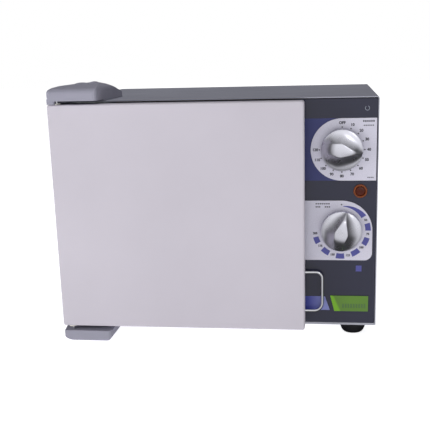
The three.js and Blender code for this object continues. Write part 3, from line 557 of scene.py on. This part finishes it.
def wing_knob(name, body, centre, pointer, node):
    """Chromed knob with a leaf-shaped grip, as a skin of fine rings."""
    directions = circle(POINTS_AROUND)
    radii = [(KNOB_RADIUS - SKIN_EDGE) * i / RINGS for i in range(1, RINGS + 1)]
    heights = [[knob_height(radius * s, radius * c) for c, s in directions] for radius in radii]
    for _ in range(SOFTENING_PASSES):
        heights = soften(heights)

    def ring(radius, levels):
        points = []
        for (c, s), level in zip(directions, levels):
            u, v = radius * s, radius * c
            x = centre.x + u * math.cos(pointer) + v * math.sin(pointer)
            z = centre.z - u * math.sin(pointer) + v * math.cos(pointer)
            points.append((x, KNOB_BASE - level, z))
        return points

    rings = [ring(radius, levels) for radius, levels in zip(radii, heights)]
    rings += [ring(KNOB_RADIUS - inward, [level] * POINTS_AROUND) for inward, level in KNOB_SIDE]
    return Shape().loops(rings).piece(name, body, FINISHES["knob_chrome"], "knob_chrome", 60, [node])


wing_knob("timer_wing_knob", "timer_control", TIMER, TIMER_POINTER, "timer_knob")
wing_knob(
    "thermostat_wing_knob", "thermostat_control", THERMOSTAT, THERMOSTAT_POINTER, "thermostat_knob")

# ---------------------------------------------------------------- prints on the dials
# Angles are in degrees clockwise from the top, and radii are from the dial's middle.
TIMER_FIGURES = ["OFF"] + [str(minutes) for minutes in range(10, 130, 10)]
TIMER_STEP = 22.5
TIMER_FIGURE_RADIUS = 37.6
TIMER_FIGURE_HEIGHT = 5.3
TICK_RADII = (30.8, 32.6)
TICK_HALF_ANGLE = 1.5

THERMOSTAT_FIGURES = (65.5, 97.6, 131, 165.5, 199.4, 232.9, 263.7)
THERMOSTAT_LOWEST = 50
THERMOSTAT_STEP = 25
THERMOSTAT_FIGURE_RADIUS = 37.9
THERMOSTAT_FIGURE_HEIGHT = 4.3
DOT_PLACE = 38.3
DOT_RADIUS = 1.1
BLOCK_RADII = (34.0, 41.9)
BLOCK_MARGIN = 8
# The swoosh's start and end angles, and its inner and outer radii at those two ends.
SWOOSH_ANGLES = (3, 57)
SWOOSH_INNER = (35.6, 33.8)
SWOOSH_OUTER = (36.3, 41.8)


def timer_scale():
    """OFF and ten-minute figures with their ticks, and small captions drawn as bars."""
    shape = Shape()
    near, far = TICK_RADII
    for i, text in enumerate(TIMER_FIGURES):
        angle = i * TIMER_STEP
        start, end = angle - TICK_HALF_ANGLE, angle + TICK_HALF_ANGLE
        arc(shape, TIMER, start, end, (near, near), (far, far), DIAL_FACE, 2)
        x, z = on_ring(TIMER, TIMER_FIGURE_RADIUS, angle)
        figures(shape, text, x, z, TIMER_FIGURE_HEIGHT, DIAL_FACE)
    right = TIMER.x + 45.2
    high = TIMER.z + 38.5
    low = TIMER.z - 40.2
    bars(shape, 6, right - 16.5, 2.8, 1.9, high, high + 2.4, DIAL_FACE)
    bars(shape, 5, right - 15.5, 3.0, 2.1, high - 5.4, high - 4.0, DIAL_FACE)
    bars(shape, 4, right - 9.4, 2.3, 1.6, low, low + 1.4, DIAL_FACE)
    return shape


def thermostat_scale():
    """Dot, figures and a caption drawn as bars, in grey ink."""
    shape = Shape()
    x, z = on_ring(THERMOSTAT, DOT_PLACE, 0)
    dot(shape, x, z, DOT_RADIUS, DIAL_FACE)
    for i, angle in enumerate(THERMOSTAT_FIGURES):
        x, z = on_ring(THERMOSTAT, THERMOSTAT_FIGURE_RADIUS, angle)
        text = str(THERMOSTAT_LOWEST + THERMOSTAT_STEP * i)
        figures(shape, text, x, z, THERMOSTAT_FIGURE_HEIGHT, DIAL_FACE)
    left = THERMOSTAT.x - 37
    high = THERMOSTAT.z + 38.6
    low = high - 4.6
    bars(shape, 7, left, 3.0, 2.1, high, high + 1.8, DIAL_FACE)
    bars(shape, 3, left, 2.5, 1.7, low, low + 2.0, DIAL_FACE)
    bars(shape, 3, left + 13, 2.8, 2.0, low, low + 2.0, DIAL_FACE)
    return shape


def heat_blocks():
    """Blue swoosh that swells from zero, and a blue block between each two figures."""
    shape = Shape()
    arc(shape, THERMOSTAT, *SWOOSH_ANGLES, SWOOSH_INNER, SWOOSH_OUTER, DIAL_FACE, 18)
    near, far = BLOCK_RADII
    for before, after in zip(THERMOSTAT_FIGURES, THERMOSTAT_FIGURES[1:]):
        start, end = before + BLOCK_MARGIN, after - BLOCK_MARGIN
        arc(shape, THERMOSTAT, start, end, (near, near), (far, far), DIAL_FACE, 6)
    return shape


timer_scale().piece("timer_scale_print", "cabinet", INK, "dial_print")
thermostat_scale().piece("thermostat_scale_print", "cabinet", INK, "dial_print")
heat_blocks().piece("thermostat_blue_print", "cabinet", INK_BLUE, "dial_print")

# ---------------------------------------------------------------- prints on the panel
PRINT_LEFT = 128

# The backdrop runs behind the dial as far as the spindle's axis. Its blue darkens towards the door's
# edge as painted shade, where the door's shadow falls.
backdrop = Shape()
bar(backdrop, PRINT_LEFT, TIMER.x, TIMER.z - DIAL_RADIUS, TIMER.z + DIAL_RADIUS, 0)
backdrop.piece("timer_blue_backdrop_and_door_shade", "cabinet", BACKDROP_BLUE_AND_DOOR_SHADE, "panel_paint")

caption = Shape()
label_low, label_high = cabinet_box("corner_label")
bars(
    caption, 9, label_high.x - 37.5, 3.9, 2.5, label_low.z + 5.0, label_low.z + 11.5, label_low.y)
caption.piece("label_caption_bars", "cabinet", INK_GREEN, "green_label")

stripe = Shape()
band(stripe, [(PRINT_LEFT, 22.6), (167.9, 22.6)], [(PRINT_LEFT, 43.7), (160.6, 43.7)], 0)
stripe.piece("lower_blue_stripe", "cabinet", STRIPE_BLUE, "panel_paint")

square = Shape()
bar(square, 205.2, 213.4, 82.4, 91.2, 0)
square.piece("small_blue_square", "cabinet", INK_BLUE, "panel_paint")

mark = Shape()
ring_mark = Vector((218.5, 0, 317.8))
arc(mark, ring_mark, 20, 320, (2.6, 2.6), (3.3, 3.3), 0, 28)
mark.piece("round_panel_mark", "cabinet", INK_PALE, "panel_paint")

# ---------------------------------------------------------------- pilot lamp
Shape().loops(facing(LAMP.x, LAMP.z, 0, [
    (7.0, 0.3), (9.8, 0.3), (9.8, 1.5), (9.5, 2.5), (8.9, 3.1), (8.1, 3.3), (7.4, 3.0), (7.0, 2.3),
]), closed=True).piece(
    "lamp_bezel_ring", "cabinet", FINISHES["amber_plastic"], "amber_plastic", 50, ["pilot_lamp_bezel"])

LENS_STEM = 5.6
LENS_RADIUS = 6.6
LENS_STEPS = 24
lens_profile = [(LENS_STEM, -4.0), (LENS_STEM, 0.3), (LENS_RADIUS, 0.3)]
for i in range(LENS_STEPS, 0, -1):
    share = i / LENS_STEPS
    bulge = 2.6 + 2.4 * math.sqrt(1 - share * share * 0.98)
    rib = 0.14 * math.cos(i * 1.6)
    lens_profile.append((LENS_RADIUS * share, bulge + rib))
Shape().loops(facing(LAMP.x, LAMP.z, 0, lens_profile)).piece(
    "lamp_ribbed_lens", "cabinet", FINISHES["amber_lens"], "amber_lens", 50, ["pilot_lamp_lens"])

# ---------------------------------------------------------------- feet
FOOT_PROFILE = [
    (6.4, -9.0), (6.4, -22.6), (7.2, -24.0), (12.0, -24.0), (13.8, -23.6), (15.6, -22.0), (17.0, -19.8),
    (18.2, -17.0), (19.0, -14.0), (19.5, -10.6), (19.8, -7.0), (19.8, -4.4), (19.4, -4.0), (19.4, -3.4),
    (19.8, -3.0), (19.6, -1.6), (18.7, -0.7), (17.2, -0.3), (2.4, -0.3), (2.4, -9.0),
]
for corner in ("front_left", "front_right", "rear_left", "rear_right"):
    node = f"foot_{corner}"
    spot = middle(node)
    Shape().loops(standing(spot.x, spot.y, 0, FOOT_PROFILE, 56), closed=True).piece(
        f"rubber_{node}", "cabinet", FINISHES["foot_rubber"], "foot_rubber", 50, [node])

# ---------------------------------------------------------------- cap screws on the upper arm
# The caps lean with the arm's slope. Each has its crown's height and its head's depth.
CAP_LEAN = 0.11
CAP_SHANK = 2.5
for side, crown, depth in (("left", 1.4, 4.2), ("right", 4.4, 6.0)):
    node = f"arm_screw_upper_{side}"
    low, high = cabinet_box(node)
    spot = middle(node)
    head = (high.x - low.x) / 2
    seat = high.z - depth
    profile = [(CAP_SHANK, low.z), (CAP_SHANK, seat), (head, seat), (head, high.z - crown)]
    profile += [(
        head * math.cos(math.pi / 2 * i / 8),
        high.z - crown + crown * math.sin(math.pi / 2 * i / 8),
    ) for i in range(1, 8)]
    profile += [(head * 0.1, high.z)]
    rings = standing(spot.x, spot.y, 0, profile, 48)
    rings[3:] = [[(x, y, z + (y - spot.y) * CAP_LEAN) for x, y, z in ring] for ring in rings[3:]]
    Shape().loops(rings).piece(
        f"cap_screw_{side}", "cabinet", FINISHES["arm_casting"], "arm_casting", 40, [node])

# ---------------------------------------------------------------- handle
HANDLE_RADIUS = 2.2
HANDLE_FILLETS = (2.4, 9.0, 12.0, 2.4)


def filleted(corners, radii, steps=9):
    """A line of points through corners, each rounded to its radius."""
    points = [Vector(corners[0])]
    for i, radius in enumerate(radii, 1):
        corner = Vector(corners[i])
        back = (Vector(corners[i - 1]) - corner).normalized()
        ahead = (Vector(corners[i + 1]) - corner).normalized()
        for k in range(steps + 1):
            angle = math.pi / 2 * k / steps
            leaving = back * radius * (1 - math.sin(angle))
            entering = ahead * radius * (1 - math.cos(angle))
            points.append(corner + leaving + entering)
    points.append(Vector(corners[-1]))
    return points


def wire(points, radius, sides=20):
    """A round wire along a line of points, without twist."""
    rings = []
    normal = None
    for i, point in enumerate(points):
        along = (points[min(i + 1, len(points) - 1)] - points[max(i - 1, 0)]).normalized()
        if normal is None:
            normal = along.orthogonal().normalized()
        normal = (normal - along * normal.dot(along)).normalized()
        across = along.cross(normal)
        rings.append([tuple(
            point + (normal * math.cos(a) + across * math.sin(a)) * radius
        ) for a in (2 * math.pi * j / sides for j in range(sides))])
    return rings


handle_low, handle_high = cabinet_box("door_handle")
wire_back = handle_low.y
wire_y = handle_high.y - HANDLE_RADIUS
root = handle_low.x + HANDLE_RADIUS
reach = handle_high.x - HANDLE_RADIUS
leg_low, leg_high = handle_low.z + HANDLE_RADIUS, handle_high.z - HANDLE_RADIUS
Shape().loops(wire(filleted([
    (root, wire_back, leg_high), (root, wire_y, leg_high), (reach, wire_y, leg_high),
    (reach, wire_y, leg_low), (root, wire_y, leg_low), (root, wire_back, leg_low),
], HANDLE_FILLETS), HANDLE_RADIUS)).piece(
    "wire_handle", "door", FINISHES["chrome_wire"], "chrome_wire", 60, ["door_handle"])

# ---------------------------------------------------------------- door seal
seal_low, seal_high = cabinet_box("door_gasket")
# The seal's section: how far in from its outer edge, and how far back from its front.
SEAL_SECTION = (
    (0.0, 0.0), (0.6, 4.6), (2.2, 6.6), (4.2, 7.6), (6.8, 7.6), (8.8, 6.6), (10.4, 4.6), (11.0, 0.0),
)
SEAL_CORNER = 14.0
SEAL_LEAST_CORNER = 3.0
Shape().loops([rounded(
    seal_low.x + inset,
    seal_high.x - inset,
    seal_low.z + inset,
    seal_high.z - inset,
    max(SEAL_LEAST_CORNER, SEAL_CORNER - inset),
    seal_low.y + rise,
) for inset, rise in SEAL_SECTION], closed=True).piece(
    "silicone_door_seal", "door", FINISHES["silicone"], "silicone", 40, ["door_gasket"])

# ---------------------------------------------------------------- screws on the casing
PAN_HEAD = ((0.3, 0.9), (0.9, 1.4), (1.3, 2.0), (2.0, 2.0), (3.0, 1.7), (3.6, 1.0), (3.8, 0.0))


def pan_head(x, z, y, shape):
    """A pan head with a round recess on an upright sheet, standing out towards the back."""
    rings = facing(x, z, y, PAN_HEAD, 24)
    shape.loops([[(px, y + (y - py), pz) for px, py, pz in ring] for ring in rings])


screws = Shape()
back_face = cabinet_box("back_panel")[1].y
BACK_SCREWS = [(x, z) for x in (-224, -80, 72, 224) for z in (14, 322)] + [(-224, 168), (224, 168)]
for x, z in BACK_SCREWS:
    pan_head(x, z, back_face, screws)
screws.piece("back_panel_screws", "cabinet", FINISHES["zinc_plate"], "zinc_plate", 40)

# ---------------------------------------------------------------- CAD nodes that stay
# Corners closer than this, in metres, become one.
WELD_DISTANCE = 0.00001
BEVEL_ANGLE = math.radians(34)
# Widths of the rounded edges, in millimetres.
SOFT_EDGES = {
    "wrap_cover": 0.3, "base_plate": 0.3, "back_panel": 0.3, "front_panel": 0.4, "door_skin": 0.5,
    "door_liner": 0.3, "hinge_arm_upper": 0.9, "hinge_arm_lower": 0.9, "inner_chamber": 0.3,
    "chamber_floor_plate": 0.3, "lower_tray": 0.3, "upper_tray": 0.3, "timer_dial": 0.15,
    "thermostat_dial": 0.15, "corner_label": 0.15, "mains_inlet": 0.5, "fuse_holder": 0.4,
    "catch_magnet": 0.4, "catch_strike": 0.2, "terminal_block": 0.6,
}


def refine(node, width):
    """Welds a CAD node's split corners, rounds its edges and evens its shading."""
    made = frame["nodes"][node]
    weld = made.modifiers.new("weld", "WELD")
    weld.merge_threshold = WELD_DISTANCE
    if width:
        edge = made.modifiers.new("edges", "BEVEL")
        edge.width = width * MM
        edge.segments = 2
        edge.limit_method = "ANGLE"
        edge.angle_limit = BEVEL_ANGLE
        edge.use_clamp_overlap = True
    normals = made.modifiers.new("normals", "WEIGHTED_NORMAL")
    normals.mode = "FACE_AREA"
    normals.keep_sharp = True


for part in frame["record"]["subparts"]:
    made = frame["nodes"][part["node"]]
    made.data.materials.clear()
    made.data.materials.append(FINISHES[part["material_slot"]].material)
    if not made.hide_render:
        refine(part["node"], SOFT_EDGES.get(part["node"], 0.0))


# ---------------------------------------------------------------- floor, light and camera
# The floor and the lamps are in metres in the row's own frame.
WHITE = (1.0, 1.0, 1.0, 1.0)
# Heading of the bright wall, and the cosines from it between which the room goes from dim
# to bright, followed by those two strengths. For diffuse rays alone the room's strength
# changes by DIFFUSE_DIMMING as a share of itself, so that less than half of it is left.
BRIGHT_WALL = (0.2, -1.0, 0.28)
WALL_SPREAD = (0.34, 0.98, 0.04, 0.92)
DIFFUSE_DIMMING = -0.55
LIT_POINT = (0, 0, 0.18)
# Name, place, width, height, watts, and whether reflections show it.
SOFTBOXES = (
    ("key", (-1.9, -1.0, 0.5), 0.8, 0.8, 21, False),
    ("spark", (1.1, -1.9, 1.3), 0.5, 0.5, 2, True),
    ("top", (0.0, 0.4, 2.4), 2.4, 2.0, 26, False),
)
FLOOR_SIZE = 9.0
FLOOR_STEPS = 8
# The floor's glow: from and to these distances, and its strength at each.
FLOOR_GLOW = {"start": 0.25, "end": 1.0, "low": 0.8, "high": 1.05}

# The camera's place is in cabinet millimetres. It looks along +Y before it is turned.
CAMERA_PLACE = (172.648, -1101.478, 397.82)
CAMERA_YAW = math.radians(-7.612)
CAMERA_PITCH = math.radians(13.517)
CAMERA_ROLL = math.radians(-1.465)
CAMERA_LENS = 64.93
CAMERA_SHIFT = (-0.0411, 0.0547)


def floor():
    """Pale floor with a glow of its own that is about white; reflections don't show it."""
    mesh = bpy.data.meshes.new("studio_floor")
    work = bmesh.new()
    bmesh.ops.create_grid(work, x_segments=FLOOR_STEPS, y_segments=FLOOR_STEPS, size=FLOOR_SIZE)
    work.to_mesh(mesh)
    work.free()
    surface = Finish("studio_paper", tint("F4F4F6"), roughness=0.85)
    fibres = surface.noise(60.0, detail=3.0)
    surface.colors(fibres, tint("F2F2F4"), tint("F6F6F8"))
    span = surface.node("ShaderNodeVectorMath", operation="LENGTH")
    surface.link(surface.coordinates, span.inputs[0])
    glow = surface.spread(span.outputs["Value"], **FLOOR_GLOW)
    surface.shader.inputs["Emission Color"].default_value = WHITE
    surface.link(glow, surface.shader.inputs["Emission Strength"])
    mesh.materials.append(surface.material)
    made = bpy.data.objects.new("studio_floor", mesh)
    made.visible_glossy = False
    bpy.context.scene.collection.objects.link(made)
    made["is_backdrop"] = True


def softbox(name, place, width, height, power, reflected):
    lamp = bpy.data.lights.new(name, "AREA")
    lamp.shape = "RECTANGLE"
    lamp.size = width
    lamp.size_y = height
    lamp.energy = power
    made = bpy.data.objects.new(name, lamp)
    made.location = place
    made.rotation_mode = "QUATERNION"
    made.rotation_quaternion = (Vector(LIT_POINT) - Vector(place)).to_track_quat("-Z", "Y")
    made.visible_glossy = reflected
    bpy.context.scene.collection.objects.link(made)


def studio():
    """White to the camera alone, and to other rays a dim room with one bright wall in front."""
    world = bpy.data.worlds.new("studio")
    bpy.context.scene.world = world
    world.use_nodes = True
    tree = world.node_tree
    background = tree.nodes["Background"]
    heading = tree.nodes.new("ShaderNodeTexCoord").outputs["Generated"]
    facing_wall = tree.nodes.new("ShaderNodeVectorMath")
    facing_wall.operation = "DOT_PRODUCT"
    facing_wall.inputs[1].default_value = Vector(BRIGHT_WALL).normalized()
    tree.links.new(heading, facing_wall.inputs[0])
    wall = tree.nodes.new("ShaderNodeMapRange")
    for socket, value in zip(wall.inputs[1:5], WALL_SPREAD):
        socket.default_value = value
    tree.links.new(facing_wall.outputs["Value"], wall.inputs[0])
    rays = tree.nodes.new("ShaderNodeLightPath")
    dimmer = tree.nodes.new("ShaderNodeMath")
    dimmer.operation = "MULTIPLY_ADD"
    tree.links.new(rays.outputs["Is Diffuse Ray"], dimmer.inputs[0])
    dimmer.inputs[1].default_value = DIFFUSE_DIMMING
    dimmer.inputs[2].default_value = 1.0
    lit = tree.nodes.new("ShaderNodeMath")
    lit.operation = "MULTIPLY"
    tree.links.new(wall.outputs[0], lit.inputs[0])
    tree.links.new(dimmer.outputs[0], lit.inputs[1])
    sweep = tree.nodes.new("ShaderNodeMath")
    sweep.operation = "MAXIMUM"
    tree.links.new(rays.outputs["Is Camera Ray"], sweep.inputs[0])
    tree.links.new(lit.outputs[0], sweep.inputs[1])
    tree.links.new(sweep.outputs[0], background.inputs["Strength"])
    background.inputs["Color"].default_value = WHITE
    for lamp in SOFTBOXES:
        softbox(*lamp)


def camera():
    yaw, pitch, roll = CAMERA_YAW, CAMERA_PITCH, CAMERA_ROLL
    ahead = Vector((
        math.sin(yaw) * math.cos(pitch), math.cos(yaw) * math.cos(pitch), -math.sin(pitch)))
    right = Vector((math.cos(yaw), -math.sin(yaw), 0))
    up = right.cross(ahead)
    across = right * math.cos(roll) + up * math.sin(roll)
    upward = up * math.cos(roll) - right * math.sin(roll)
    view = bpy.data.cameras.new("camera")
    view.sensor_width = 36
    view.lens = CAMERA_LENS
    view.shift_x, view.shift_y = CAMERA_SHIFT
    view.clip_start = 0.05
    made = bpy.data.objects.new("camera", view)
    turn = Matrix((across, upward, -ahead)).transposed().to_4x4()
    made.matrix_world = Matrix.Translation(row(*CAMERA_PLACE)) @ turn
    bpy.context.scene.collection.objects.link(made)
    bpy.context.scene.camera = made


floor()
studio()
camera()
bpy.context.scene.view_settings.view_transform = "Standard"

low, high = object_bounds()
